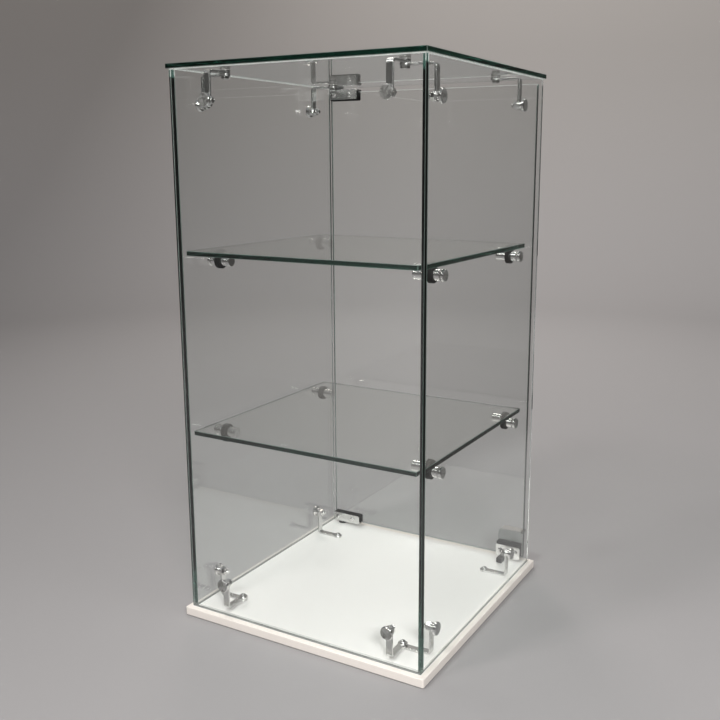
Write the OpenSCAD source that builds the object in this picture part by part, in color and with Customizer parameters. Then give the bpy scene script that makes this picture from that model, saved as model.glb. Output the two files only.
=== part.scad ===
// Frameless glass display case on a white base board.
// The front, left, right and top panes meet edge to face. Bonded studs and bent
// chrome arms tie them to the base board and to each other. Two glass shelves
// lie on rubber-ringed pegs, and the back is a glass door on clamp pivots
// with a clamp-on lock.
// Frame: +X to the right seen from the front, +Y to the door at the back, +Z up.
// Origin: centre of the glass box on plan, on the underside of the base board.

/* [Glass box] */
// Outside width of the glass box
glass_w = 296; // [260:1:420]
// Outside depth of the glass box
glass_d = 300; // [270:1:420]
// Height of the upright panes
pane_h = 596.5; // [500:0.5:900]
// Thickness of all the glass
glass_t = 5; // [4:0.5:6]
// How far the top pane reaches past the upright panes
top_over = 2.5; // [1:0.5:6]
// Gap in the dry joints between panes, and at their upper and lower ends
joint_gap = 0.25; // [0.1:0.05:0.6]
// Width of the ground arris on every edge of the glass
arris = 0.5; // [0.2:0.1:1]

/* [Base board] */
// Thickness of the base board
base_t = 10; // [9:0.5:18]
// How far the board reaches past the glass at the front and sides
base_over = 6; // [4:0.5:15]
// How far the board reaches past the glass at the back, under the lock bolt
base_over_back = 8; // [8:0.5:20]
// Plan radius of the board's corners
base_corner_r = 2; // [1:0.5:10]
// Radius of the board's top edge
base_edge_r = 1; // [0.5:0.5:3]

/* [Shelves] */
// Height of the lower shelf's top face above the floor
lower_shelf_z = 220.5; // [120:0.5:300]
// Height of the upper shelf's top face above the floor
upper_shelf_z = 420; // [330:0.5:560]
// Gap between a shelf and the side panes
shelf_side_gap = 4; // [2:0.5:8]
// Gap between a shelf and the front pane
shelf_front_gap = 2; // [1:0.5:5]
// Gap between a shelf and the door
shelf_door_gap = 25; // [18:1:50]
// Distance of the front and back pegs from the middle of the case
peg_y = 100; // [60:1:110]

/* [Shelf pegs] */
// Diameter of a peg
peg_d = 11.4; // [9:0.2:12]
// Length of a peg from the pane to its free end
peg_len = 30; // [26:1:36]
// Outside diameter of the rubber ring
ring_d = 17; // [15:0.5:20]
// Width of the rubber ring
ring_w = 6; // [4:0.5:8]

/* [Bent arms] */
// Length of an arm's leg from its eye to its upright part
arm_leg = 29; // [24:1:34]
// Height of an arm from its leg to its upper eye
arm_rise = 29; // [20:1:36]
// Width of the bar
arm_w = 7.5; // [5:0.5:9]
// Thickness of the bar
arm_t = 2.4; // [1.6:0.2:3]
// Outside diameter of an eye
eye_d = 10.6; // [9:0.2:13]
// Distance of the back arms from the middle of the case
back_arm_y = 99; // [70:1:110]

/* [Door] */
// Gap between the door and each side pane
door_side_gap = 4; // [2.5:0.5:6]
// Gap between the door and the base board
door_low_gap = 6; // [5.5:0.5:9]
// Gap between the door and the top pane
door_top_gap = 5.5; // [5:0.5:9]
// Length of a hinge clamp
hinge_l = 41; // [36:1:60]
// Height of a hinge clamp
hinge_h = 12.8; // [12:0.2:20]
// Distance of the pivot from the end of the hinge clamp
pivot_in = 11; // [9:0.5:16]
// Width of the lock
lock_w = 32; // [30:1:45]
// Height of the lock
lock_h = 35.5; // [30:0.5:50]

/* [Hidden] */
$fn = 48;
fit = 0.1;        // clearance of a turning or sliding piece on its radius
thread_gap = 0.05; // clearance of a threaded piece on its radius

// levels and inner faces
base_z = base_t;
top_z = base_z + pane_h + 2 * joint_gap;
side_x = glass_w / 2 - glass_t;
front_y = glass_d / 2 - glass_t;
back_y = glass_d / 2;

// bonded studs: a disc glued on the glass, a neck, and a threaded shank
glue_t = 0.15;
disc_d = 14.5;
disc_t = 4;
disc_bevel = 1;
face_bevel = 0.8;
neck_d = 9;
neck_t = 2.6;
shank_d = 5;
shank_out = 3.5;
shank_cut = 0.5;
nut_af = 8;
nut_bevel = 0.6;
nut_t = 4;
thin_nut_t = 2.7;
arm_off = disc_t + neck_t + arm_t / 2;
stud_len = arm_off + arm_t / 2 + nut_t + shank_out;

// arms: places of the screws and bends
arm_x = side_x - arm_off - arm_leg;
arm_y = front_y - arm_off - arm_leg;
arm_bend_r = 2;
eye_bore = shank_d + 0.4;
low_arm_z = base_z + arm_t / 2;
low_arm2_z = low_arm_z + arm_t;

// studs under the top pane
flange_d = 11;
flange_t = 1.6;
high_arm_z = top_z - flange_t - arm_t / 2;
high_arm2_z = high_arm_z - arm_t;
stud_tip = 0.5;

// domed wood screws
screw_d = 4;
screw_head_d = 6.8;
screw_head_t = 3.2;
screw_rim = 0.8;
screw_len = 8;
slot_w = 1.2;
slot_t = 1;

// shelves and pegs
shelf_w = 2 * (side_x - shelf_side_gap);
shelf_y0 = -(front_y - shelf_front_gap);
shelf_y1 = front_y - shelf_door_gap;
shelf_rest_gap = 0.2;
pad_d = 12.6;
pad_t = 4;
pad_bevel = 0.8;
peg_neck_d = 8;
peg_neck_t = 1.2;
peg_bevel = 0.6;
ring_groove = 0.6;
ring_from = 12;

// door
door_x = side_x - door_side_gap;
door_z0 = base_z + door_low_gap;
door_z1 = top_z - door_top_gap;
door_y = back_y - glass_t / 2;
liner_t = 1.2;
liner_edge = 0.8;
liner_show = 1.6;
cheek_t = 2.6;
web_t = 2.7;
clamp_y = glass_t / 2 + liner_t + cheek_t;
clamp_r = 2;
clamp_bevel = 1;
pivot_x = -door_x + pivot_in;
pin_d = 5;
pin_in_web = 2;
pin_tip_gap = 0.5;
bush_d = 12.5;
bush_gap = 0.2;
bush_floor = 1;
bush_spigot_d = 8;
bush_spigot = 6;
high_clamp_z = door_z1 + liner_edge + web_t;
low_clamp_z = door_z0 - liner_edge - web_t;
high_bush_t = top_z - high_clamp_z - bush_gap;
low_bush_t = low_clamp_z - base_z - bush_gap;
high_pin_reach = high_bush_t + bush_gap - fit;
low_pin_reach = low_bush_t + bush_gap + bush_spigot - bush_floor - pin_tip_gap;
clamp_screw_d = 3.5;
clamp_head_d = 6;
clamp_head_t = 2.2;
clamp_slot_w = 1;
clamp_slot_t = 0.7;
clamp_screw_at = [6.5, hinge_l - 11];
clamp_screw_z = 4.4;

// lock
lock_x1 = door_x - 3;
lock_x0 = lock_x1 - lock_w;
lock_mid = (lock_x0 + lock_x1) / 2;
lock_r = 4;
lock_case_t = 13;
lock_plate_h = 17;
lock_liner_h = 21;
lock_screw_at = [6, lock_w - 6];
lock_screw_z = 9.5;
barrel_d = 15;
barrel_out = 2;
plug_d = 10;
plug_len = 7;
plug_up = 22;
plug_z = low_clamp_z + plug_up;
key_w = 1.4;
key_h = 6;
key_deep = 5;
bolt_d = 4;
bolt_wall = 1;
bolt_y = back_y + liner_t + bolt_wall + bolt_d / 2;
bolt_len = 12;
bolt_rest_up = 0.5;
bolt_top_gap = 1.5;
bolt_travel = 7;
bolt_hole_gap = 0.3;
stop_w = 7.5;
stop_d = 13;
stop_h = 6.5;
stop_in = 6;
stop_x = lock_x0 + stop_in;
stop_gap = 0.3;
eps = 0.01;

// colours
white = [0.93, 0.93, 0.91];
glass = [0.62, 0.78, 0.72, 0.35];
chrome = [0.72, 0.72, 0.73];
black = [0.08, 0.08, 0.08];
steel = [0.55, 0.55, 0.56];

// ---- shared shapes ----

// rectangle with round corners, standing on its lower left corner
module round_rect(w, h, r) {
    translate([r, 0]) square([w - 2 * r, h]);
    translate([0, r]) square([w, h - 2 * r]);
    for (x = [r, w - r], y = [r, h - r])
        translate([x, y]) circle(r);
}

// board section: rectangle with its two upper corners rounded
module round_top(w, h, r) {
    square([w, h - r]);
    translate([r, 0]) square([w - 2 * r, h]);
    for (x = [r, w - r])
        translate([x, h - r]) circle(r);
}

// rectangle with its four corners cut at 45 degrees
module cut_rect(w, h, c) {
    polygon([[c, 0], [w - c, 0], [w, c], [w, h - c],
             [w - c, h], [c, h], [0, h - c], [0, c]]);
}

// turns a section drawn in X and Z so that it runs w far along +Y
module along_y(w) { translate([0, w, 0]) rotate([90, 0, 0]) linear_extrude(w) children(); }

// turns a section drawn in Y and Z so that it runs w far along +X
module along_x(w) { rotate([90, 0, 90]) linear_extrude(w) children(); }

// sheet of glass with an arris on every edge, s its size from its lowest corner
module pane(s) {
    color(glass)
        intersection() {
            linear_extrude(s.z) cut_rect(s.x, s.y, arris);
            along_y(s.y) cut_rect(s.x, s.z, arris);
            along_x(s.x) cut_rect(s.y, s.z, arris);
        }
}

// turned disc standing on z = 0 with its upper edge bevelled
module bevelled_disc(d, t, bevel) {
    cylinder(d = d, h = t - bevel);
    translate([0, 0, t - bevel]) cylinder(d1 = d, d2 = d - 2 * bevel, h = bevel);
}

// disc on its line of glue, bevelled on both faces
module glued_disc(d, t, bevel) {
    translate([0, 0, glue_t + face_bevel])
        bevelled_disc(d, t - glue_t - face_bevel, bevel);
    translate([0, 0, glue_t])
        cylinder(d1 = d - 2 * face_bevel, d2 = d, h = face_bevel);
}

// hexagon nut standing on z = 0, the corners of its outer face turned down
module hex_nut(t) {
    across = nut_af / cos(30);
    difference() {
        intersection() {
            cylinder(d = across, h = t, $fn = 6);
            union() {
                cylinder(d = across + 1, h = t - nut_bevel);
                translate([0, 0, t - nut_bevel])
                    cylinder(d1 = across, d2 = nut_af - nut_bevel, h = nut_bevel);
            }
        }
        translate([0, 0, -eps]) cylinder(d = shank_d + 2 * thread_gap, h = t + 2 * eps);
    }
}

// bent bar: lower eye at the origin, leg along +X, upright part rising
module bent_arm() {
    bend_x = arm_leg - arm_t / 2 - arm_bend_r;
    bend_z = arm_t / 2 + arm_bend_r;
    difference() {
        union() {
            translate([0, 0, -arm_t / 2]) cylinder(d = eye_d, h = arm_t);
            translate([0, -arm_w / 2, -arm_t / 2]) cube([bend_x, arm_w, arm_t]);
            translate([bend_x, 0, bend_z])
                rotate([90, 0, 0])
                    rotate([0, 0, -90])
                        rotate_extrude(angle = 90)
                            translate([arm_bend_r, -arm_w / 2]) square([arm_t, arm_w]);
            translate([arm_leg - arm_t / 2, -arm_w / 2, bend_z])
                cube([arm_t, arm_w, arm_rise - bend_z]);
            translate([arm_leg - arm_t / 2, 0, arm_rise])
                rotate([0, 90, 0]) cylinder(d = eye_d, h = arm_t);
        }
        translate([0, 0, -arm_t]) cylinder(d = eye_bore, h = 2 * arm_t);
        translate([arm_leg - arm_t, 0, arm_rise])
            rotate([0, 90, 0]) cylinder(d = eye_bore, h = 2 * arm_t);
    }
}

// an arm at the bottom (up = 1) or hung from the top (up = -1), leg turned to a
module place_arm(x, y, z, a, up) {
    color(chrome)
        translate([x, y, z])
            rotate([0, 0, a])
                mirror([0, 0, up > 0 ? 0 : 1]) bent_arm();
}

// threaded shank along +Z up to z, its end turned down
module shank(z) {
    translate([0, 0, glue_t]) cylinder(d = shank_d, h = z - shank_cut - glue_t);
    translate([0, 0, z - shank_cut])
        cylinder(d1 = shank_d, d2 = shank_d - 2 * shank_cut, h = shank_cut);
}

// stud glued to a pane at z = 0, pointing along +Z
module pane_stud() {
    glued_disc(disc_d, disc_t, disc_bevel);
    translate([0, 0, glue_t]) cylinder(d = neck_d, h = disc_t + neck_t - glue_t);
    shank(stud_len);
}

// heights of the arms' eyes on the panes: where two arms are stacked, the side
// arm is the lower of the two at the bottom and at the top
side_front_eye_z = [low_arm_z + arm_rise, high_arm2_z - arm_rise];
side_back_eye_z = [low_arm_z + arm_rise, high_arm_z - arm_rise];
front_eye_z = [low_arm2_z + arm_rise, high_arm_z - arm_rise];

// puts its children on the inside of the side pane, pointing inwards
module on_side(s) {
    for (z = side_front_eye_z)
        translate([s * side_x, -arm_y, z]) rotate([0, -s * 90, 0]) children();
    for (z = side_back_eye_z)
        translate([s * side_x, back_arm_y, z]) rotate([0, -s * 90, 0]) children();
}

// puts its children on the inside of the front pane, pointing inwards
module on_front() {
    for (z = front_eye_z, x = [-arm_x, arm_x])
        translate([x, -front_y, z]) rotate([-90, 0, 0]) children();
}

// puts its children at the four pegs of a shelf, pointing inwards
module on_pegs(shelf_top) {
    peg_z = shelf_top - glass_t - shelf_rest_gap - ring_d / 2;
    for (s = [-1, 1], y = [-peg_y, peg_y])
        translate([s * side_x, y, peg_z]) rotate([0, -s * 90, 0]) children();
}

// ---- board and glass ----

module base_board() {
    w = glass_w + 2 * base_over;
    d = glass_d + base_over + base_over_back;
    color(white)
        difference() {
            translate([-w / 2, -glass_d / 2 - base_over, 0])
                intersection() {
                    linear_extrude(base_t) round_rect(w, d, base_corner_r);
                    along_y(d) round_top(w, base_t, base_edge_r);
                    along_x(w) round_top(d, base_t, base_edge_r);
                }
            for (x = [-arm_x, arm_x], y = [-arm_y, back_arm_y])
                translate([x, y, base_z - screw_len])
                    cylinder(d = screw_d + 2 * thread_gap, h = screw_len + eps);
            translate([pivot_x, door_y, base_z - bush_spigot])
                cylinder(d = bush_spigot_d + 2 * thread_gap, h = bush_spigot + eps);
            translate([lock_mid, bolt_y, base_z - bolt_travel])
                cylinder(d = bolt_d + 2 * bolt_hole_gap, h = bolt_travel + eps);
        }
}

module front_panel() {
    translate([-glass_w / 2, -glass_d / 2, base_z + joint_gap])
        pane([glass_w, glass_t, pane_h]);
}

// side pane, its outer face at the given x
module side_pane(x) {
    translate([x, -front_y + joint_gap, base_z + joint_gap])
        pane([glass_t, back_y + front_y - joint_gap, pane_h]);
}

module left_panel() { side_pane(-glass_w / 2); }
module right_panel() { side_pane(side_x); }

module top_panel() {
    translate([-glass_w / 2 - top_over, -glass_d / 2 - top_over, top_z])
        pane([glass_w + 2 * top_over, glass_d + 2 * top_over, glass_t]);
}

module shelf(top) {
    translate([-shelf_w / 2, shelf_y0, top - glass_t])
        pane([shelf_w, shelf_y1 - shelf_y0, glass_t]);
}

module upper_shelf() { shelf(upper_shelf_z); }
module lower_shelf() { shelf(lower_shelf_z); }

module door_panel() {
    translate([-door_x, back_y - glass_t, door_z0])
        pane([2 * door_x, glass_t, door_z1 - door_z0]);
}

// ---- bent arms: a pair at each front corner, one at each back corner ----

module low_arm_front_left() { place_arm(-arm_x, -arm_y, low_arm2_z, -90, 1); }
module low_arm_front_right() { place_arm(arm_x, -arm_y, low_arm2_z, -90, 1); }
module low_arm_left_front() { place_arm(-arm_x, -arm_y, low_arm_z, 180, 1); }
module low_arm_right_front() { place_arm(arm_x, -arm_y, low_arm_z, 0, 1); }
module low_arm_left_back() { place_arm(-arm_x, back_arm_y, low_arm_z, 180, 1); }
module low_arm_right_back() { place_arm(arm_x, back_arm_y, low_arm_z, 0, 1); }
module high_arm_front_left() { place_arm(-arm_x, -arm_y, high_arm_z, -90, -1); }
module high_arm_front_right() { place_arm(arm_x, -arm_y, high_arm_z, -90, -1); }
module high_arm_left_front() { place_arm(-arm_x, -arm_y, high_arm2_z, 180, -1); }
module high_arm_right_front() { place_arm(arm_x, -arm_y, high_arm2_z, 0, -1); }
module high_arm_left_back() { place_arm(-arm_x, back_arm_y, high_arm_z, 180, -1); }
module high_arm_right_back() { place_arm(arm_x, back_arm_y, high_arm_z, 0, -1); }

// ---- studs, nuts and screws ----

module front_panel_studs() { color(chrome) on_front() pane_stud(); }
module left_panel_studs() { color(chrome) on_side(-1) pane_stud(); }
module right_panel_studs() { color(chrome) on_side(1) pane_stud(); }

module seat_nut() { translate([0, 0, arm_off + arm_t / 2]) hex_nut(nut_t); }
module front_panel_nuts() { color(chrome) on_front() seat_nut(); }
module left_panel_nuts() { color(chrome) on_side(-1) seat_nut(); }
module right_panel_nuts() { color(chrome) on_side(1) seat_nut(); }

// thickness of the arms clamped at a corner: two at the front, one at the back
function stack(y) = y < 0 ? 2 * arm_t : arm_t;

module top_panel_studs() {
    color(chrome)
        for (x = [-arm_x, arm_x], y = [-arm_y, back_arm_y])
            translate([x, y, top_z]) mirror([0, 0, 1]) {
                translate([0, 0, glue_t]) cylinder(d = flange_d, h = flange_t - glue_t);
                shank(flange_t + stack(y) + thin_nut_t + stud_tip);
            }
}

module top_panel_nuts() {
    color(chrome)
        for (x = [-arm_x, arm_x], y = [-arm_y, back_arm_y])
            translate([x, y, top_z - flange_t - stack(y)])
                mirror([0, 0, 1]) hex_nut(thin_nut_t);
}

// slotted wood screw with a domed head seated on z = 0
module wood_screw(clamped) {
    head_r = screw_head_d / 2;
    dome_t = screw_head_t - screw_rim;
    dome_r = (head_r * head_r + dome_t * dome_t) / (2 * dome_t);
    difference() {
        union() {
            cylinder(d = screw_head_d, h = screw_rim);
            intersection() {
                cylinder(d = screw_head_d, h = screw_head_t + 1);
                translate([0, 0, screw_head_t - dome_r]) sphere(dome_r);
            }
        }
        translate([-head_r, -slot_w / 2, screw_head_t - slot_t])
            cube([screw_head_d, slot_w, slot_t + 1]);
    }
    translate([0, 0, -clamped - screw_len + eps]) cylinder(d = screw_d, h = clamped + screw_len);
}

module base_screws() {
    color(steel)
        for (x = [-arm_x, arm_x], y = [-arm_y, back_arm_y])
            translate([x, y, base_z + stack(y)]) wood_screw(stack(y));
}

// ---- shelf pegs ----

module peg_pad() { glued_disc(pad_d, pad_t, pad_bevel); }

module peg() {
    difference() {
        union() {
            translate([0, 0, pad_t]) cylinder(d = peg_neck_d, h = peg_neck_t + eps);
            translate([0, 0, pad_t + peg_neck_t])
                cylinder(d = peg_d, h = peg_len - pad_t - peg_neck_t - peg_bevel);
            translate([0, 0, peg_len - peg_bevel])
                cylinder(d1 = peg_d, d2 = peg_d - 2 * peg_bevel, h = peg_bevel);
        }
        translate([0, 0, ring_from])
            difference() {
                cylinder(d = peg_d + 1, h = ring_w);
                cylinder(d = peg_d - 2 * ring_groove, h = ring_w);
            }
    }
}

module peg_ring() {
    translate([0, 0, ring_from])
        difference() {
            cylinder(d = ring_d, h = ring_w);
            translate([0, 0, -eps])
                cylinder(d = peg_d - 2 * ring_groove, h = ring_w + 2 * eps);
        }
}

module upper_peg_pads() { color(chrome) on_pegs(upper_shelf_z) peg_pad(); }
module upper_pegs() { color(chrome) on_pegs(upper_shelf_z) peg(); }
module upper_peg_rings() { color(black) on_pegs(upper_shelf_z) peg_ring(); }
module lower_peg_pads() { color(chrome) on_pegs(lower_shelf_z) peg_pad(); }
module lower_pegs() { color(chrome) on_pegs(lower_shelf_z) peg(); }
module lower_peg_rings() { color(black) on_pegs(lower_shelf_z) peg_ring(); }

// ---- clamps on the door, drawn for its lower edge ----

// slab in the plane of the door, w by h with round corners, y from y0 to y1
module door_slab(w, h, r, y0, y1) {
    translate([0, y1, 0]) rotate([90, 0, 0]) linear_extrude(y1 - y0) round_rect(w, h, r);
}

// the door's edge and liner, cut out of a clamp: y is measured from the door's middle
module clamp_slot(w, h) {
    translate([-1, -glass_t / 2 - liner_t, web_t])
        cube([w + 2, glass_t + 2 * liner_t, h]);
}

// channel that grips the door's edge
module hinge_clamp() {
    difference() {
        intersection() {
            door_slab(hinge_l, hinge_h, clamp_r, -clamp_y, clamp_y);
            along_x(hinge_l)
                translate([-clamp_y, 0]) cut_rect(2 * clamp_y, hinge_h + clamp_bevel, clamp_bevel);
        }
        clamp_slot(hinge_l, hinge_h);
        for (x = clamp_screw_at)
            translate([x, -glass_t / 2 - liner_t + eps, clamp_screw_z + web_t])
                rotate([90, 0, 0])
                    cylinder(d = clamp_screw_d + 2 * thread_gap, h = cheek_t + 2 * eps);
        translate([pivot_in, 0, -eps])
            cylinder(d = pin_d + 2 * thread_gap, h = pin_in_web + eps);
    }
}

// rubber liner in the channel, showing past the cheeks
module liner(w, h, r) {
    difference() {
        translate([0, 0, web_t])
            door_slab(w, h, r, -glass_t / 2 - liner_t, glass_t / 2 + liner_t);
        translate([-1, -glass_t / 2, web_t + liner_edge]) cube([w + 2, glass_t, h]);
    }
}

// slotted clamp screw through the inner cheek, head on the cheek
module clamp_screw() {
    difference() {
        union() {
            cylinder(d = clamp_head_d, h = clamp_head_t / 2);
            translate([0, 0, clamp_head_t / 2])
                cylinder(d1 = clamp_head_d, d2 = clamp_head_d * 0.7, h = clamp_head_t / 2);
            translate([0, 0, -cheek_t]) cylinder(d = clamp_screw_d, h = cheek_t + eps);
        }
        translate([-clamp_head_d, -clamp_slot_w / 2, clamp_head_t - clamp_slot_t])
            cube([2 * clamp_head_d, clamp_slot_w, clamp_head_t]);
    }
}

// clamp screws at the given places along a clamp
module clamp_screws(places, z) {
    for (x = places)
        translate([x, -clamp_y, z]) rotate([90, 0, 0]) clamp_screw();
}

// puts a hinge part on the door's lower or upper edge
module at_low_hinge() { translate([-door_x, door_y, low_clamp_z]) children(); }
module at_high_hinge() {
    translate([-door_x, door_y, high_clamp_z]) mirror([0, 0, 1]) children();
}

module hinge_liner() { liner(hinge_l + liner_show, hinge_h - web_t + liner_show, clamp_r); }
module hinge_screws() { clamp_screws(clamp_screw_at, web_t + clamp_screw_z); }
module hinge_pin(reach) {
    translate([pivot_in, 0, -reach]) cylinder(d = pin_d, h = reach + pin_in_web - eps);
}

module low_hinge_clamp() { color(chrome) at_low_hinge() hinge_clamp(); }
module high_hinge_clamp() { color(chrome) at_high_hinge() hinge_clamp(); }
module low_hinge_liner() { color(black) at_low_hinge() hinge_liner(); }
module high_hinge_liner() { color(black) at_high_hinge() hinge_liner(); }
module low_hinge_screws() { color(steel) at_low_hinge() hinge_screws(); }
module high_hinge_screws() { color(steel) at_high_hinge() hinge_screws(); }
module low_pivot_pin() { color(steel) at_low_hinge() hinge_pin(low_pin_reach); }
module high_pivot_pin() { color(steel) at_high_hinge() hinge_pin(high_pin_reach); }

module high_pivot_bush() {
    color(black)
        translate([pivot_x, door_y, top_z - high_bush_t])
            difference() {
                cylinder(d = bush_d, h = high_bush_t);
                translate([0, 0, -eps]) cylinder(d = pin_d + 2 * fit, h = high_bush_t + 2 * eps);
            }
}

module low_pivot_bush() {
    color(black)
        translate([pivot_x, door_y, base_z])
            difference() {
                union() {
                    cylinder(d = bush_d, h = low_bush_t);
                    translate([0, 0, -bush_spigot + eps])
                        cylinder(d = bush_spigot_d, h = bush_spigot);
                }
                translate([0, 0, -bush_spigot + bush_floor])
                    cylinder(d = pin_d + 2 * fit, h = bush_spigot + low_bush_t);
            }
}

// ---- lock ----

// puts a lock part on the door's lower edge
module at_lock() { translate([lock_x0, door_y, low_clamp_z]) children(); }

module lock_body() {
    case_y = glass_t / 2 + liner_t;
    mid = lock_w / 2;
    color(chrome) at_lock()
        difference() {
            union() {
                door_slab(lock_w, lock_plate_h, clamp_r, -clamp_y, case_y + 1);
                door_slab(lock_w, lock_h, lock_r, case_y, case_y + lock_case_t);
            }
            clamp_slot(lock_w, lock_h);
            for (x = lock_screw_at)
                translate([x, -glass_t / 2 - liner_t + eps, lock_screw_z])
                    rotate([90, 0, 0])
                        cylinder(d = clamp_screw_d + 2 * thread_gap, h = cheek_t + 2 * eps);
            translate([mid, bolt_y - door_y, -eps])
                cylinder(d = bolt_d + 2 * fit, h = bolt_rest_up + bolt_len + bolt_top_gap);
            translate([mid, case_y + lock_case_t + eps, plug_up])
                rotate([90, 0, 0]) cylinder(d = plug_d + 2 * fit, h = plug_len + fit);
        }
}

module lock_liner() {
    color(black) at_lock() liner(lock_w, lock_liner_h - web_t, clamp_r);
}

module lock_screws() {
    color(steel) at_lock() clamp_screws(lock_screw_at, lock_screw_z);
}

// rim around the plug, on the outside of the case
module lock_barrel() {
    color(chrome)
        translate([lock_mid, back_y + liner_t + lock_case_t, plug_z])
            rotate([-90, 0, 0])
                difference() {
                    bevelled_disc(barrel_d, barrel_out, disc_bevel);
                    translate([0, 0, -eps])
                        cylinder(d = plug_d + 2 * fit, h = barrel_out + 2 * eps);
                }
}

// turning plug with its keyway
module lock_plug() {
    color(steel)
        translate([lock_mid, back_y + liner_t + lock_case_t - plug_len, plug_z])
            rotate([-90, 0, 0])
                difference() {
                    cylinder(d = plug_d, h = plug_len + barrel_out);
                    translate([-key_w / 2, -key_h / 2, plug_len + barrel_out - key_deep])
                        cube([key_w, key_h, key_deep + 1]);
                }
}

module lock_bolt() {
    color(steel)
        translate([lock_mid, bolt_y, low_clamp_z + bolt_rest_up]) cylinder(d = bolt_d, h = bolt_len);
}

// block on the base that the closed door's lock rests against
module door_stop() {
    color(black)
        translate([stop_x, door_y - clamp_y - stop_gap - stop_d, base_z])
            cube([stop_w, stop_d, stop_h]);
}

// ---- the case ----

base_board();
front_panel();
left_panel();
right_panel();
top_panel();
upper_shelf();
lower_shelf();
door_panel();
low_arm_front_left();
low_arm_front_right();
low_arm_left_front();
low_arm_right_front();
low_arm_left_back();
low_arm_right_back();
high_arm_front_left();
high_arm_front_right();
high_arm_left_front();
high_arm_right_front();
high_arm_left_back();
high_arm_right_back();
front_panel_studs();
left_panel_studs();
right_panel_studs();
front_panel_nuts();
left_panel_nuts();
right_panel_nuts();
top_panel_studs();
top_panel_nuts();
base_screws();
upper_peg_pads();
upper_pegs();
upper_peg_rings();
lower_peg_pads();
lower_pegs();
lower_peg_rings();
high_hinge_clamp();
high_hinge_liner();
high_hinge_screws();
high_pivot_pin();
high_pivot_bush();
low_hinge_clamp();
low_hinge_liner();
low_hinge_screws();
low_pivot_pin();
low_pivot_bush();
lock_body();
lock_liner();
lock_screws();
lock_barrel();
lock_plug();
lock_bolt();
door_stop();
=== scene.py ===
"""Looks of a frameless glass display case: panes, white board, bent chrome arms,
bonded studs and nuts, rubber-ringed shelf pegs, clamp pivots, clamp lock and studio.
Sizes are in metres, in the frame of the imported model."""

import functools
import math

import bmesh
import bpy
from bpy.props import FloatProperty, FloatVectorProperty, IntProperty, PointerProperty
from mathutils import Euler, Matrix, Vector


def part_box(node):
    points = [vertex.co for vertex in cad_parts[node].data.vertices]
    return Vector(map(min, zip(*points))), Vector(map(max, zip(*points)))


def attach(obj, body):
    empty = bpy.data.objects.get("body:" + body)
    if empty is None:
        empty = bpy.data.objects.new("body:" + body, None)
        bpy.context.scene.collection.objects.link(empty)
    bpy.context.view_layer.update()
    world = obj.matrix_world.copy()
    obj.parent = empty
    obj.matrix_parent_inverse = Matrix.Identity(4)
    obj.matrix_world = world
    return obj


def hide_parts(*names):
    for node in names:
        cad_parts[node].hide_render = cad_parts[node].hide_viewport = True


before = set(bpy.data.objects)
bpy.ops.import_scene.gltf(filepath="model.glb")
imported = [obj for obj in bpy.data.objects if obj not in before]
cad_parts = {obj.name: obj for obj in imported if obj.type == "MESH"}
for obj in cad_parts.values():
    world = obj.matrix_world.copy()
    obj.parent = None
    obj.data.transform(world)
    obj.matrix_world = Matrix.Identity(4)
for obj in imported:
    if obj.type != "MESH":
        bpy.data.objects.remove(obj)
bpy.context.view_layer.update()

bl_info = {
    "name": "Glass display case",
    "version": (1, 0, 0),
    "blender": (4, 5, 0),
    "location": "3D View > Sidebar > Display Case",
    "description": "Finishes and hardware of a frameless glass display case",
    "category": "Object",
}

MM = 0.001
ARMS = [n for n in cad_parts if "_arm_" in n]

# Faces of the panes inside the case, and the line of adhesive on them
SIDE_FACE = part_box("right_panel")[0].x
FRONT_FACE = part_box("front_panel")[1].y
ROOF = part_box("top_panel")[0].z
GLUE = 0.15 * MM
PANE_THICK = 5.0 * MM

# Where an upright pane's upper end begins, and the heights under which its foot is drawn with a
# painted contact shadow (a dark line) and painted shade (a grey band)
PANE_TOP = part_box("door_panel")[1].z - 2.0 * MM
PANE_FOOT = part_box("front_panel")[0].z + 0.9 * MM
# Top and share of the grey band of frost at a pane's foot: painted shade
FOOT_SHADE_TOP = PANE_FOOT + 2.2 * MM
FOOT_SHADE_SHARE = 0.35
SQUARE_ON = 0.9  # a normal's part along an axis, above which the face is square to it

SHARP = math.radians(32.0)  # angle from which an edge is kept sharp, or rounded
POLE = 1e-7  # radius under which a turned section is at its axis
SAME = 1e-5  # distance under which two places are the same

# The paper sweep: radius of its floor, radius of its bend, height of its wall, sides
SWEEP_FLOOR, SWEEP_BEND, SWEEP_WALL, SWEEP_SIDES = 2.2, 1.0, 2.3, 96

# Dark zones at the sides and the front, shown only to mirrored and scattered rays as painted
# reflection and painted shade: direction, where each begins, and over what width
REFLECTED_DARK_ZONES = (((0.98, 0.2, 0.0), 0.40, 0.14), ((-0.63, -0.78, 0.0), 0.42, 0.5),
            ((0.48, -0.88, 0.0), 0.25, 0.5))

# Lamps: name, side, share of the key lamp's power, place, aim and colour
LAMPS = (
    ("key_lamp", 0.42, 1.0, (1.3, -1.42, 1.2), (0.4, -0.44, 0.0), (1.0, 0.985, 0.975)),
    ("high_lamp", 0.4, 0.77, (-0.71, -1.58, 2.4), (0.52, -0.19, 0.05), (1.0, 0.975, 0.955)),
    ("wall_lamp", 1.0, 1.1, (-0.96, 1.25, 2.07), (0.4, 2.42, 1.05), (1.0, 0.95, 0.91)),
    ("front_lamp", 1.0, 0.9, (0.3, -1.9, 2.0), (0.9, -3.2, 0.6), (1.0, 0.98, 0.96)),
    ("left_lamp", 1.0, 0.13, (-1.3, 1.0, 2.0), (-2.0, 1.3, 0.2), (1.0, 0.86, 0.78)),
)

# The photograph's camera: place, turn in degrees, and shift of its frame
CAMERA_PLACE = (0.5150, -0.8737, 0.5126)
CAMERA_TURN = (90.0 - 11.422, 0.0, 29.336)
CAMERA_SHIFT = (-0.03635, -0.02307)

# ---------------------------------------------------------------- settings


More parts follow.
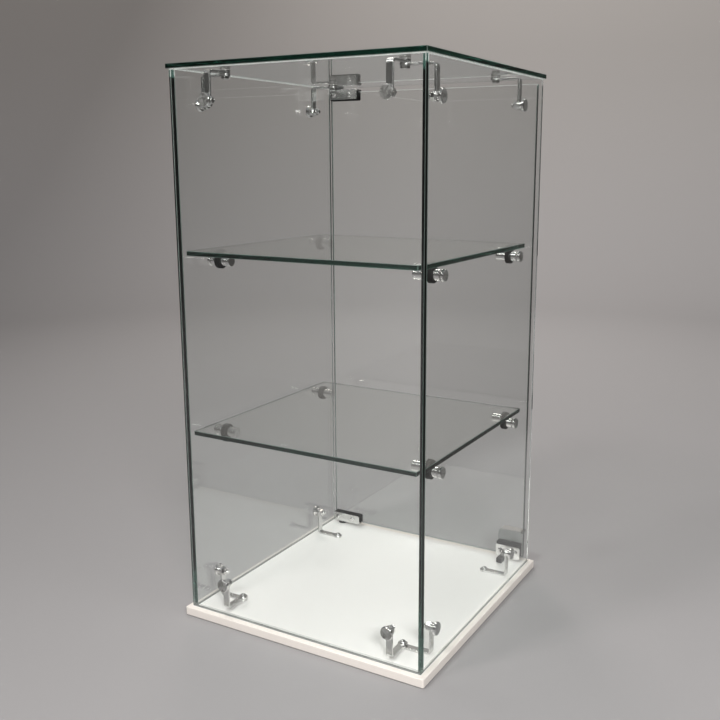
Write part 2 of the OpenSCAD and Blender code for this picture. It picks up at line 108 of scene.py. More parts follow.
class CaseGlassSettings(bpy.types.PropertyGroup):
    """Float glass of the panes and shelves"""

    tint: FloatVectorProperty(
        name="Body tint",
        description="Colour that the glass keeps over a long path, as seen at its edges",
        subtype="COLOR", size=3, min=0.0, max=1.0, default=(0.20, 0.74, 0.60))
    density: FloatProperty(
        name="Tint density",
        description="How fast the glass takes on its tint, per metre",
        min=0.0, max=200.0, default=5.0)
    edge: FloatVectorProperty(
        name="Edge tint", description="Colour of the polished edges, seen from the side",
        subtype="COLOR", size=3, min=0.0, max=1.0, default=(0.035, 0.085, 0.07))
    ground: FloatVectorProperty(
        name="Ground ends", description="Colour of the ground upper ends of the upright panes",
        subtype="COLOR", size=3, min=0.0, max=1.0, default=(0.88, 0.90, 0.89))
    # Painted shade: the lower ends, and a grey band of frost at the foot of an upright pane, are
    # drawn greyer than the ground upper ends
    seat: FloatVectorProperty(
        name="Lower ends", description="Colour of the lower ends, which lie against the board",
        subtype="COLOR", size=3, min=0.0, max=1.0, default=(0.40, 0.41, 0.405))
    arris: FloatVectorProperty(
        name="Arrises", description="Colour of the narrow ground arrises",
        subtype="COLOR", size=3, min=0.0, max=1.0, default=(0.09, 0.13, 0.115))
    # Painted contact shadow: the dark line along the foot of an upright pane, where it stands on
    # the board
    foot: FloatVectorProperty(
        name="Foot line", description="Colour of the dark line where a pane stands on the board",
        subtype="COLOR", size=3, min=0.0, max=1.0, default=(0.03, 0.04, 0.035))
    shade: FloatVectorProperty(
        name="Shadow tint",
        description="Share of light that one face of a pane lets through to what is behind",
        subtype="COLOR", size=3, min=0.0, max=1.0, default=(0.995, 0.998, 0.996))
    ior: FloatProperty(
        name="Index of refraction", description="Of soda-lime glass",
        min=1.0, max=2.0, default=1.52)


class CaseMetalSettings(bpy.types.PropertyGroup):
    """Plated metal of the arms, studs, pegs, clamps and lock"""

    chrome: FloatVectorProperty(
        name="Chrome", description="Colour of the polished chrome plate",
        subtype="COLOR", size=3, min=0.0, max=1.0, default=(0.80, 0.79, 0.78))
    arms: FloatVectorProperty(
        name="Arm plate", description="Colour of the duller plate on the bent arms",
        subtype="COLOR", size=3, min=0.0, max=1.0, default=(0.64, 0.635, 0.625))
    zinc: FloatVectorProperty(
        name="Cast zinc", description="Colour of bare die-cast zinc",
        subtype="COLOR", size=3, min=0.0, max=1.0, default=(0.30, 0.30, 0.30))
    steel: FloatVectorProperty(
        name="Steel", description="Colour of the bright screws and bolt",
        subtype="COLOR", size=3, min=0.0, max=1.0, default=(0.68, 0.68, 0.67))
    edge: FloatProperty(
        name="Edge softness", description="Radius of the polished edges",
        subtype="DISTANCE", unit="LENGTH", min=0.0, max=0.001, default=0.00035)
    segments: IntProperty(
        name="Round segments", description="Sides of a turned piece",
        min=16, max=128, default=48)


class CaseBoardSettings(bpy.types.PropertyGroup):
    """Laminated base board, rubber and plastic"""

    laminate: FloatVectorProperty(
        name="Laminate", description="White of the board's laminate",
        subtype="COLOR", size=3, min=0.0, max=1.0, default=(0.90, 0.877, 0.858))
    # Painted shade, with a warmer tone of the board's edge: the laminate outside the panes is
    # drawn darker and warmer than inside them
    border: FloatVectorProperty(
        name="Handled border", description="Laminate outside the panes, yellowed by handling",
        subtype="COLOR", size=3, min=0.0, max=1.0, default=(0.83, 0.778, 0.725))
    rubber: FloatVectorProperty(
        name="Rubber", description="Black of the rings and clamp liners",
        subtype="COLOR", size=3, min=0.0, max=1.0, default=(0.003, 0.003, 0.003))


class CaseStageSettings(bpy.types.PropertyGroup):
    """Studio round the case"""

    floor: FloatVectorProperty(
        name="Paper", description="Colour of the paper sweep",
        subtype="COLOR", size=3, min=0.0, max=1.0, default=(0.338, 0.330, 0.333))
    wall: FloatVectorProperty(
        name="Upper paper", description="Colour of the paper sweep towards its upper rim",
        subtype="COLOR", size=3, min=0.0, max=1.0, default=(0.345, 0.330, 0.318))
    # Painted reflection and painted shade: the dark colour that mirrored and scattered rays meet
    # at the sides of the paper
    curtain: FloatVectorProperty(
        name="Curtains",
        description="Colour at the sides of the paper, met only by mirrored and scattered light",
        subtype="COLOR", size=3, min=0.0, max=1.0, default=(0.055, 0.052, 0.05))
    ambient: FloatProperty(
        name="Ambient", description="Strength of the light from all round",
        min=0.0, max=4.0, default=0.26)
    key: FloatProperty(
        name="Key lamp", description="Power of the large lamp", unit="POWER",
        min=0.0, max=500.0, default=39.0)
    lens: FloatProperty(
        name="Lens", description="Focal length of the camera, in millimetres",
        min=10.0, max=200.0, default=44.76)


# ---------------------------------------------------------------- node helpers


def feed(node, inputs):
    """Sets or links a node's inputs. A colour given by its three parts is opaque."""
    for key, value in inputs.items():
        socket = node.inputs[key]
        if isinstance(value, bpy.types.NodeSocket):
            node.id_data.links.new(value, socket)
        elif socket.type == "RGBA" and len(value) == 3:
            socket.default_value = (*value, 1.0)
        else:
            socket.default_value = value


def put(tree, kind, inputs=None, **settings):
    """Adds a node, sets its settings, and sets or links its inputs."""
    node = tree.nodes.new(kind)
    for name, value in settings.items():
        setattr(node, name, value)
    feed(node, inputs or {})
    return node


def maths(tree, operation, *values, clamp=False):
    """The outcome of a Math node on one or two values."""
    return put(tree, "ShaderNodeMath", dict(enumerate(values)), operation=operation,
               use_clamp=clamp).outputs[0]


def place_on(tree):
    """The place of a point on its piece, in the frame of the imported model."""
    return put(tree, "ShaderNodeTexCoord").outputs["Object"]


def parts(tree, vector):
    """The X, Y and Z of a vector."""
    return put(tree, "ShaderNodeSeparateXYZ", {0: vector}).outputs


def noise(tree, place, scale, detail, roughness=0.5, distortion=0.0):
    """Cloudy noise over a place."""
    return put(tree, "ShaderNodeTexNoise", {
        "Vector": place, "Scale": scale, "Detail": detail, "Roughness": roughness,
        "Distortion": distortion}).outputs["Fac"]


def bumped(tree, height, strength, distance):
    """A normal bumped by a height."""
    return put(tree, "ShaderNodeBump", {
        "Strength": strength, "Distance": distance, "Height": height}).outputs[0]


def between(tree, value, start, end, kind="LINEAR"):
    """A mask that goes from 0 to 1 as the value goes from start to end."""
    return put(tree, "ShaderNodeMapRange", {
        "Value": value, "From Min": start, "From Max": end}, interpolation_type=kind).outputs[0]


def ramp(tree, mask, low, high):
    """A value that goes from low to high as the mask goes from 0 to 1."""
    return put(tree, "ShaderNodeMapRange", {
        "Value": mask, "To Min": low, "To Max": high}).outputs[0]


def blend_colour(tree, mask, low, high):
    """A colour that goes from low to high as the mask goes from 0 to 1."""
    return put(tree, "ShaderNodeMix", {0: mask, 6: low, 7: high}, data_type="RGBA").outputs[2]


def mixed(tree, share, first, second):
    """A shader that goes from the first to the second as the share goes from 0 to 1."""
    return put(tree, "ShaderNodeMixShader", {0: share, 1: first, 2: second}).outputs[0]


def scaled(colour, by):
    """A colour made darker or lighter."""
    return tuple(by * part for part in colour)


def made_once(make):
    """Lets the maker of a node group run once. The group has its maker's name."""
    @functools.wraps(make)
    def group():
        return bpy.data.node_groups.get(make.__name__) or make()
    return group


def shader_group(name, inputs, outputs):
    """A new shader node group, what its inputs give, and its output node. The inputs are
    name -> (kind, default), and the outputs name -> kind."""
    group = bpy.data.node_groups.new(name, "ShaderNodeTree")
    for label, (kind, value) in inputs.items():
        socket = group.interface.new_socket(label, in_out="INPUT", socket_type=kind)
        socket.default_value = value
    for label, kind in outputs.items():
        group.interface.new_socket(label, in_out="OUTPUT", socket_type=kind)
    return group, group.nodes.new("NodeGroupInput").outputs, group.nodes.new("NodeGroupOutput")


def effect(tree, group, inputs=None):
    """What a shared effect gives in a material, with the material's own values."""
    return put(tree, "ShaderNodeGroup", inputs, node_tree=group).outputs


@made_once
def handling_marks():
    """Wiping smears and hair scratches: a mask that is 1 in a smear, and a bumped normal."""
    group, given, wanted = shader_group(
        "handling_marks",
        {"Smear size": ("NodeSocketFloat", 30.0), "Scratch depth": ("NodeSocketFloat", 0.05),
         "Clean share": ("NodeSocketFloat", 0.5)},
        {"Smear": "NodeSocketFloat", "Normal": "NodeSocketVector"})
    place = place_on(group)
    cloud = noise(group, place, given["Smear size"], 5.0, roughness=0.6, distortion=0.8)
    above = maths(group, "SUBTRACT", cloud, given["Clean share"])
    along = put(group, "ShaderNodeMapping", {
        "Vector": place, "Rotation": (0.5, 0.3, 0.9), "Scale": (1.0, 26.0, 3.0)}).outputs[0]
    hair = noise(group, along, 140.0, 3.0, roughness=0.7)
    feed(wanted, {
        "Smear": maths(group, "MULTIPLY", above, 4.0, clamp=True),
        "Normal": bumped(group, hair, given["Scratch depth"], 0.0001)})
    return group


@made_once
def settled_dust():
    """Fine dust on faces that look up: a mask over the surface."""
    group, given, wanted = shader_group(
        "settled_dust",
        {"Speck size": ("NodeSocketFloat", 900.0), "Amount": ("NodeSocketFloat", 0.3)},
        {"Dust": "NodeSocketFloat"})
    place = place_on(group)
    speck = between(group, noise(group, place, given["Speck size"], 2.0), 0.52, 0.72)
    patch = noise(group, place, 14.0, 4.0, roughness=0.6)
    up = parts(group, put(group, "ShaderNodeNewGeometry").outputs["True Normal"])["Z"]
    dust = maths(group, "MULTIPLY", speck, patch)
    dust = maths(group, "MULTIPLY", dust, between(group, up, 0.2, 0.9))
    feed(wanted, {"Dust": maths(group, "MULTIPLY", dust, given["Amount"], clamp=True)})
    return group


@made_once
def worn_edge():
    """Mask of the narrow line along an edge: rubbed wear where it darkens the laminate, and a
    painted highlight where it brightens metal.
    """
    group, given, wanted = shader_group(
        "worn_edge",
        {"Radius": ("NodeSocketFloat", 0.0006), "Breakup": ("NodeSocketFloat", 120.0)},
        {"Edge": "NodeSocketFloat"})
    soft = put(group, "ShaderNodeBevel", {"Radius": given["Radius"]}, samples=4).outputs[0]
    sharp = put(group, "ShaderNodeNewGeometry").outputs["Normal"]
    alike = put(group, "ShaderNodeVectorMath", {0: soft, 1: sharp}, operation="DOT_PRODUCT")
    line = between(group, alike.outputs["Value"], 0.995, 0.85)
    broken = noise(group, place_on(group), given["Breakup"], 3.0)
    feed(wanted, {"Edge": maths(group, "MULTIPLY", line, broken)})
    return group


@made_once
def bonded_face():
    """Faces that are glued to a pane: a mask, and the blotches of the adhesive over it."""
    group, given, wanted = shader_group(
        "bonded_face", {"Blotch size": ("NodeSocketFloat", 260.0)},
        {"Glued": "NodeSocketFloat", "Blotch": "NodeSocketFloat"})
    place = place_on(group)
    spot = parts(group, place)
    glued = maths(group, "GREATER_THAN", maths(group, "ABSOLUTE", spot["X"]),
                  SIDE_FACE - 2 * GLUE)
    for value, edge, test in ((spot["Y"], FRONT_FACE + 2 * GLUE, "LESS_THAN"),
                              (spot["Z"], ROOF - 2 * GLUE, "GREATER_THAN")):
        glued = maths(group, "MAXIMUM", glued, maths(group, test, value, edge))
    cloud = noise(group, place, given["Blotch size"], 3.0, roughness=0.6, distortion=1.2)
    feed(wanted, {"Glued": glued, "Blotch": between(group, cloud, 0.4, 0.6)})
    return group


# ---------------------------------------------------------------- materials


def float_glass(tree, shader, settings, axis):
    """Clear float glass lying square to an axis: dark green at its polished edges, and
    ground on its arrises and on the ends of an upright pane. Shadow and diffuse rays meet
    a thin sheet of the same reflectance instead, so that light comes through evenly."""
    smear = effect(tree, handling_marks(), {
        "Smear size": 9.0, "Scratch depth": 0.0, "Clean share": 0.52})["Smear"]
    # The normal is taken in the pane's own frame, so that an open door keeps its faces
    own = put(tree, "ShaderNodeVectorTransform", {
        0: put(tree, "ShaderNodeNewGeometry").outputs["True Normal"]},
        vector_type="NORMAL", convert_from="WORLD", convert_to="OBJECT")
    normal = parts(tree, own.outputs[0])
    facing = {a: maths(tree, "ABSOLUTE", normal[a]) for a in "XYZ"}
    longest = facing["X"]
    for a in "YZ":
        longest = maths(tree, "MAXIMUM", longest, facing[a])
    arris = maths(tree, "LESS_THAN", longest, SQUARE_ON)
    ground, face = arris, settings.arris
    if axis != "Z":
        end = maths(tree, "GREATER_THAN", facing["Z"], SQUARE_ON)
        height = parts(tree, place_on(tree))["Z"]
        above = maths(tree, "GREATER_THAN", height, PANE_TOP)
        # Painted contact shadow: the lowest strip of each face is drawn dark
        foot = maths(tree, "LESS_THAN", height, PANE_FOOT)
        foot = maths(tree, "SUBTRACT", foot, end, clamp=True)
        # Painted shade: a grey band of frost over the foot of the pane
        painted_foot_shade = maths(tree, "MULTIPLY", maths(tree, "LESS_THAN", height, FOOT_SHADE_TOP), FOOT_SHADE_SHARE)
        for mask in (end, foot, painted_foot_shade):
            ground = maths(tree, "MAXIMUM", ground, mask)
        # Painted shade: the lower ends take the greyer seat colour, and the upper ends the lit
        # ground colour
        face = blend_colour(tree, arris, settings.seat, settings.arris)
        face = blend_colour(tree, above, face, settings.ground)
        face = blend_colour(tree, foot, face, settings.foot)
    side = maths(tree, "LESS_THAN", facing[axis], 0.5)
    feed(shader, {
        "Base Color": blend_colour(tree, side, (1.0, 1.0, 1.0), settings.edge),
        "Roughness": ramp(tree, smear, 0.0, 0.01),
        "Metallic": 0.0, "IOR": settings.ior, "Transmission Weight": 1.0})

    grit = noise(tree, place_on(tree), 1500.0, 2.0)
    frost = put(tree, "ShaderNodeBsdfPrincipled", {
        "Base Color": blend_colour(tree, ramp(tree, grit, 0.0, 0.25), face, settings.arris),
        "Roughness": ramp(tree, grit, 0.35, 0.6),
        "Metallic": 0.0, "IOR": settings.ior, "Transmission Weight": 0.35}).outputs[0]
    glow = put(tree, "ShaderNodeBsdfTranslucent", {"Color": face}).outputs[0]
    solid = mixed(tree, ground, shader.outputs[0], mixed(tree, 0.45, frost, glow))

    path = put(tree, "ShaderNodeLightPath").outputs
    lit = maths(tree, "MAXIMUM", path["Is Shadow Ray"], path["Is Diffuse Ray"])
    one_face = put(tree, "ShaderNodeFresnel", {"IOR": settings.ior}).outputs[0]
    back = put(tree, "ShaderNodeNewGeometry").outputs["Backfacing"]
    pane = maths(tree, "DIVIDE", maths(tree, "MULTIPLY", one_face, 2.0),
                 maths(tree, "ADD", one_face, 1.0))
    thrown_back = maths(tree, "MULTIPLY", pane, maths(tree, "SUBTRACT", 1.0, back))
    clear = put(tree, "ShaderNodeBsdfTransparent", {"Color": settings.shade}).outputs[0]
    mirror = put(tree, "ShaderNodeBsdfAnisotropic", {
        "Color": (1.0, 1.0, 1.0), "Roughness": 0.0}).outputs[0]
    sheet = mixed(tree, thrown_back, clear, mirror)
    body = put(tree, "ShaderNodeVolumeAbsorption", {
        "Color": settings.tint, "Density": settings.density}).outputs[0]
    feed(tree.nodes["Material Output"], {
        "Surface": mixed(tree, lit, solid, sheet), "Volume": body})


def plated(tree, shader, colour, rough, scratches):
    """Plated metal of one colour with wiping smears and hair scratches, seen through
    blotchy adhesive where it is glued to a pane."""
    marks = effect(tree, handling_marks(), {
        "Smear size": 160.0, "Scratch depth": scratches, "Clean share": 0.55})
    edge = effect(tree, worn_edge(), {"Radius": 0.0005})["Edge"]
    glue = effect(tree, bonded_face())
    shown = blend_colour(tree, marks["Smear"], colour, scaled(colour, 0.86))
    # Painted highlight: the colour is brighter along the edges
    shown = blend_colour(tree, edge, shown, scaled(colour, 1.2))
    blotched = blend_colour(tree, glue["Blotch"], (0.13, 0.125, 0.12), (0.36, 0.35, 0.34))
    smooth = ramp(tree, marks["Smear"], *rough)
    feed(shader, {
        "Base Color": blend_colour(tree, glue["Glued"], shown, blotched),
        "Roughness": maths(tree, "MAXIMUM", smooth, maths(tree, "MULTIPLY", glue["Glued"], 0.3)),
        "Metallic": ramp(tree, glue["Glued"], 1.0, 0.3),
        "Normal": marks["Normal"]})


def polished_chrome(tree, shader, settings):
    """Bright chrome plate of the studs, pegs and lock, and of the clamps' screws."""
    plated(tree, shader, settings.chrome, (0.035, 0.11), 0.04)


def satin_plate(tree, shader, settings):
    """Duller plate of the bent arms and hinge clamps, with the grain of the metal under it."""
    plated(tree, shader, settings.arms, (0.2, 0.3), 0.12)


def cast_zinc(tree, shader, settings):
    """Bare die-cast zinc of the lock's hidden face."""
    place = place_on(tree)
    cloud = noise(tree, place, 240.0, 4.0)
    feed(shader, {
        "Base Color": blend_colour(tree, cloud, settings.zinc, scaled(settings.zinc, 0.7)),
        "Roughness": ramp(tree, cloud, 0.45, 0.65),
        "Metallic": 1.0,
        "Normal": bumped(tree, noise(tree, place, 2200.0, 2.0), 0.3, 0.0001)})


def bright_steel(tree, shader, settings):
    """Zinc-bright steel of screws, pins and bolt, duller than the chrome."""
    marks = effect(tree, handling_marks(), {
        "Smear size": 240.0, "Scratch depth": 0.25, "Clean share": 0.45})
    edge = effect(tree, worn_edge(), {"Radius": 0.0004})["Edge"]
    colour = blend_colour(tree, marks["Smear"], settings.steel, scaled(settings.steel, 0.75))
    feed(shader, {
        # Painted highlight: the colour is brighter along the edges
        "Base Color": blend_colour(tree, edge, colour, (0.82, 0.82, 0.81)),
        "Roughness": ramp(tree, marks["Smear"], 0.16, 0.34),
        "Metallic": 1.0,
        "Normal": marks["Normal"]})


def black_rubber(tree, shader, settings):
    """Black moulded rubber with a fine grain and some dust."""
    dust = effect(tree, settled_dust(), {"Speck size": 1600.0, "Amount": 0.06})["Dust"]
    place = place_on(tree)
    shine = noise(tree, place, 220.0, 3.0)
    colour = blend_colour(tree, shine, settings.rubber, scaled(settings.rubber, 2.0))
    feed(shader, {
        "Base Color": blend_colour(tree, dust, colour, (0.35, 0.34, 0.32)),
        "Roughness": ramp(tree, shine, 0.45, 0.7),
        "Specular IOR Level": 0.1,
        "Normal": bumped(tree, noise(tree, place, 2600.0, 3.0), 0.25, 0.0001)})


def black_nylon(tree, shader, settings):
    """Black nylon of the pivot bushes and the door stop, a little glossier than the rubber."""
    marks = effect(tree, handling_marks(), {
        "Smear size": 300.0, "Scratch depth": 0.3, "Clean share": 0.45})
    dust = effect(tree, settled_dust(), {"Speck size": 1400.0, "Amount": 0.4})["Dust"]
    colour = blend_colour(tree, marks["Smear"], settings.rubber, (0.05, 0.05, 0.05))
    feed(shader, {
        "Base Color": blend_colour(tree, dust, colour, (0.35, 0.34, 0.32)),
        "Roughness": ramp(tree, marks["Smear"], 0.3, 0.5),
        "Normal": marks["Normal"]})


def white_laminate(tree, shader, settings):
    """Satin white laminate: fine emboss, faint clouding, dust and rubbed edges, with painted shade
    outside the panes and a painted contact shadow along the lower rim.
    """
    place = place_on(tree)
    dust = effect(tree, settled_dust(), {"Speck size": 700.0, "Amount": 0.16})["Dust"]
    cloud = noise(tree, place, 5.0, 4.0)
    emboss = put(tree, "ShaderNodeTexVoronoi", {"Vector": place, "Scale": 900.0}, feature="F1")
    edge = effect(tree, worn_edge(), {"Radius": 0.001, "Breakup": 60.0})["Edge"]
    spot = parts(tree, place)
    # Painted shade: outside the panes the laminate is drawn darker, and warmer for its edge tone
    outside_panes = maths(tree, "GREATER_THAN", maths(tree, "ABSOLUTE", spot["X"]),
                   SIDE_FACE + PANE_THICK)
    for value, test in ((FRONT_FACE - PANE_THICK, "LESS_THAN"),
                        (PANE_THICK - FRONT_FACE, "GREATER_THAN")):
        outside_panes = maths(tree, "MAXIMUM", outside_panes, maths(tree, test, spot["Y"], value))
    # Painted contact shadow: a dark line along the board's lower rim, where it stands on the floor
    contact_shadow = maths(tree, "LESS_THAN", spot["Z"], 1.0 * MM)
    colour = blend_colour(tree, outside_panes, settings.laminate, settings.border)
    colour = blend_colour(tree, contact_shadow, colour, (0.15, 0.14, 0.13))
    colour = blend_colour(tree, ramp(tree, cloud, 1.0, 0.965), (0.0, 0.0, 0.0), colour)
    colour = blend_colour(tree, dust, colour, (0.56, 0.54, 0.52))
    feed(shader, {
        "Base Color": blend_colour(tree, edge, colour, (0.80, 0.78, 0.75)),
        "Roughness": ramp(tree, cloud, 0.32, 0.46),
        "Normal": bumped(tree, emboss.outputs["Distance"], 0.12, 0.0002)})


def sweep_paper(tree, shader, settings):
    """Matt paper of the studio sweep, with a faint unevenness. Mirrored and scattered rays meet a
    painted dark at its sides, which the camera doesn't see:
    a painted reflection in the metal and glass, and painted shade in the bounced light."""
    place = place_on(tree)
    height = parts(tree, place)["Z"]
    colour = blend_colour(tree, between(tree, height, 0.0, 1.4, "SMOOTHSTEP"), settings.floor,
                          settings.wall)
    past = []
    for way, start, width in REFLECTED_DARK_ZONES:
        along = put(tree, "ShaderNodeVectorMath", {0: place, 1: way}, operation="DOT_PRODUCT")
        past.append(between(tree, along.outputs["Value"], start, start + width, "SMOOTHSTEP"))
    raised = put(tree, "ShaderNodeMapRange", {"Value": height, "From Max": 0.3, "To Min": 0.2},
                 interpolation_type="SMOOTHSTEP").outputs[0]
    front = maths(tree, "MULTIPLY", maths(tree, "MAXIMUM", past[1], past[2]), raised)
    path = put(tree, "ShaderNodeLightPath").outputs
    bounces = maths(tree, "ADD", path["Glossy Depth"], path["Diffuse Depth"])
    # Painted reflection and painted shade: the sides turn dark only for rays that have bounced
    painted_dark = maths(tree, "MULTIPLY", maths(tree, "MAXIMUM", past[0], front),
                maths(tree, "GREATER_THAN", bounces, 0.5))
    colour = blend_colour(tree, painted_dark, colour, settings.curtain)
    uneven = ramp(tree, noise(tree, place, 1.3, 3.0), 0.0, 0.1)
    feed(shader, {
        "Base Color": blend_colour(tree, uneven, colour, (0.3, 0.3, 0.3)), "Roughness": 0.85})


def finish(name):
    """The named material, made once with the scene's settings. Its label keeps it apart
    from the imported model's own plain material of that name."""
    label = "case_" + name
    if label in bpy.data.materials:
        return bpy.data.materials[label]
    scene = bpy.context.scene
    makers = {"float_glass_" + axis.lower(): (functools.partial(float_glass, axis=axis),
                                              scene.case_glass) for axis in "XYZ"}
    for settings, group in ((scene.case_metal, (polished_chrome, satin_plate, cast_zinc,
                                                bright_steel)),
                            (scene.case_board, (black_rubber, black_nylon, white_laminate)),
                            (scene.case_stage, (sweep_paper,))):
        makers.update({maker.__name__: (maker, settings) for maker in group})
    maker, settings = makers[name]
    material = bpy.data.materials.new(label)
    material.use_nodes = True
    maker(material.node_tree, material.node_tree.nodes["Principled BSDF"], settings)
    return material


def dress(nodes, material):
    """Gives the CAD nodes a finished material in all their slots."""
    for name in nodes:
        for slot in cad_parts[name].material_slots:
            slot.material = finish(material)


# ---------------------------------------------------------------- shapes


def thing_of(name, mesh):
    """A new object of the mesh, in the scene."""
    thing = bpy.data.objects.new(name, mesh)
    bpy.context.scene.collection.objects.link(thing)
    return thing


def mesh_of(name, bm):
    """A new mesh of what the bmesh holds, which is then freed."""
    mesh = bpy.data.meshes.new(name)
    bm.to_mesh(mesh)
    bm.free()
    return mesh


def quarter_turn(steps, first=0):
    """Angles over a quarter turn, in equal steps."""
    return [math.pi / 2 * i / steps for i in range(first, steps + first)]


def eased(section, radius, loop=False, steps=3):
    """The corners of a turned section, (radius, height) each, rounded. A point just before
    and just after each rounding holds the flats beside it."""
    soft = []
    for i, corner in enumerate(section):
        if corner[0] < POLE or (not loop and i in (0, len(section) - 1)):
            soft.append(corner)
            continue
        here = Vector(corner)
        ways = [Vector(section[i - 1]) - here, Vector(section[(i + 1) % len(section)]) - here]
        reach = min(radius, 0.45 * ways[0].length, 0.45 * ways[1].length)
        start, end = (here + way.normalized() * reach for way in ways)
        before, after = (tuple(here + way.normalized() * reach * 1.08) for way in ways)
        curve = [tuple((1 - t) ** 2 * start + 2 * t * (1 - t) * here + t * t * end)
                 for t in (k / steps for k in range(steps + 1))]
        soft += [before] + curve + [after]
    return soft


def turned(name, section, segments, shape=None, loop=False):
    """A mesh turned round Z from (radius, height) steps. A shape moves each point on."""
    bm = bmesh.new()
    rings = []
    for radius, height in section:
        ring = []
        for i in range(segments if radius > POLE else 1):
            share = i / segments
            turn = 2 * math.pi * share
            r, z = shape(radius, height, share) if shape else (radius, height)
            ring.append(bm.verts.new((r * math.cos(turn), r * math.sin(turn), z)))
        rings.append(ring)
    for one, two in list(zip(rings, rings[1:])) + ([(rings[-1], rings[0])] if loop else []):
        for i in range(segments):
            j = (i + 1) % segments
            corners = [one[i % len(one)], one[j % len(one)], two[j % len(two)], two[i % len(two)]]
            bm.faces.new(list(dict.fromkeys(corners)))
    bmesh.ops.recalc_face_normals(bm, faces=bm.faces)
    mesh = mesh_of(name, bm)
    mesh.shade_smooth()
    mesh.set_sharp_from_angle(angle=SHARP)
    return mesh


def cut_thread(bottom, top, outer, pitch, depth):
    """Shape that cuts a screw thread between two heights, for turned()."""
    def shape(radius, height, share):
        if bottom <= height <= top and abs(radius - outer) < 1e-6:
            radius -= depth * abs(2 * ((height / pitch - share) % 1.0) - 1)
        return radius, height
    return shape


def threaded(outer, bottom, top, end, pitch):
    """Section steps of a threaded shank from bottom to top, its end turned down."""
    steps = max(2, round((top - end - bottom) / (pitch / 8)))
    heights = [bottom + (top - end - bottom) * i / steps for i in range(steps + 1)]
    return [(outer, z) for z in heights] + [(outer - end, top), (0.0, top)]


def hexagon_nut(name, flats, tall, bore, bevel, segments):
    """Hexagon nut on z = 0, the corners of its outer face turned down."""
    half = flats / 2

    def shape(radius, height, share):
        if radius <= half:
            return radius, height
        corner = half / math.cos(math.radians((share * 360) % 60 - 30))
        drop = (corner - half + bevel) * math.tan(math.radians(30))
        return corner, height - drop if height > 0.5 * tall else height

    section = [(bore, 0.0), (half * 1.1, 0.0), (half * 1.1, tall), (half - bevel, tall),
               (bore + bevel, tall), (bore, tall - bevel)]
    return turned(name, section, segments, shape, loop=True)


def bent_bar(name, leg, rise, wide, thick, eye, bore, bend, turns=40):
    """Flat bar with an eye at each end, bent up at a right angle; lower eye at the origin."""
    straight = leg - thick / 2 - bend
    middle = bend + thick / 2
    arc = middle * math.pi / 2
    total = straight + arc + rise - thick / 2 - bend
    reach = math.asin(wide / eye)
    faces, spots = [], []

    def spot(u, v):
        spots.append((u, v))
        return len(spots) - 1

    mouths = []
    for centre, way in ((0.0, 0.0), (total, math.pi)):
        bar = [way - reach + 2 * reach * i / 8 for i in range(9)]
        rest = [way + reach + (2 * math.pi - 2 * reach) * i / (turns - 8)
                for i in range(1, turns - 8)]
        angles = bar + rest
        inner = [spot(centre + bore / 2 * math.cos(a), bore / 2 * math.sin(a)) for a in angles]
        outer = [spot(centre + eye / 2 * math.cos(a), eye / 2 * math.sin(a)) for a in angles]
        for i in range(turns):
            j = (i + 1) % turns
            faces.append([inner[i], outer[i], outer[j], inner[j]])
        mouths.append(outer[:9])
    rows = [[spot(u, -wide / 2), spot(u, wide / 2)]
            for u in (straight + arc * i / 10 for i in range(11))]
    faces += [[a[0], b[0], b[1], a[1]] for a, b in zip(rows, rows[1:])]
    faces.append(mouths[0][::-1] + rows[0])
    faces.append([rows[-1][1], rows[-1][0]] + mouths[1][::-1])

    bm = bmesh.new()

    def place(u, v, w):
        if u <= straight:
            return (u, v, w)
        if u >= straight + arc:
            return (leg - w, v, thick / 2 + bend + u - straight - arc)
        a = (u - straight) / middle
        return (straight + (middle - w) * math.sin(a), v, middle - (middle - w) * math.cos(a))

    sheets = [[bm.verts.new(place(u, v, w)) for u, v in spots] for w in (-thick / 2, thick / 2)]
    used = {}
    for face in faces:
        bm.faces.new([sheets[0][i] for i in face])
        bm.faces.new([sheets[1][i] for i in face])
        for a, b in zip(face, face[1:] + face[:1]):
            used.setdefault(frozenset((a, b)), []).append((a, b))
    for sides in used.values():
        if len(sides) == 1:
            a, b = sides[0]
            bm.faces.new([sheets[0][a], sheets[0][b], sheets[1][b], sheets[1][a]])
    bmesh.ops.recalc_face_normals(bm, faces=bm.faces)
    return mesh_of(name, bm)


def baked(thing, name):
    """The thing's mesh with its modifiers applied."""
    bpy.context.view_layer.update()
    graph = bpy.context.evaluated_depsgraph_get()
    mesh = bpy.data.meshes.new_from_object(thing.evaluated_get(graph), depsgraph=graph)
    mesh.name = name
    bpy.data.objects.remove(thing)
    return mesh


def rounded(mesh, radius):
    """The mesh with every sharp edge rounded, and its large faces kept flat to the light."""
    thing = thing_of("rounding", mesh)
    bevel = thing.modifiers.new("rounding", "BEVEL")
    bevel.width, bevel.segments, bevel.limit_method = radius, 3, "ANGLE"
    bevel.angle_limit = SHARP
    bevel.use_clamp_overlap = True
    soft = baked(thing, mesh.name)
    soft.shade_smooth()
    soft.set_sharp_from_angle(angle=math.radians(40))
    thing = thing_of("weighing", soft)
    thing.modifiers.new("weigh", "WEIGHTED_NORMAL").keep_sharp = True
    return baked(thing, mesh.name)


def slotted(mesh, length, width, floor, top):
    """The mesh with a straight slot cut in its head."""
    bm = bmesh.new()
    bmesh.ops.create_cube(bm, size=1.0, matrix=Matrix.Translation((0, 0, (floor + top) / 2))
                          @ Matrix.Diagonal((length, width, top - floor, 1.0)))
    cutter = thing_of("slot", mesh_of("slot", bm))
    thing = thing_of("slotting", mesh)
    cut = thing.modifiers.new("slot", "BOOLEAN")
    cut.operation, cut.solver, cut.object = "DIFFERENCE", "EXACT", cutter
    result = baked(thing, mesh.name)
    bpy.data.objects.remove(cutter)
    result.set_sharp_from_angle(angle=SHARP)
    return result


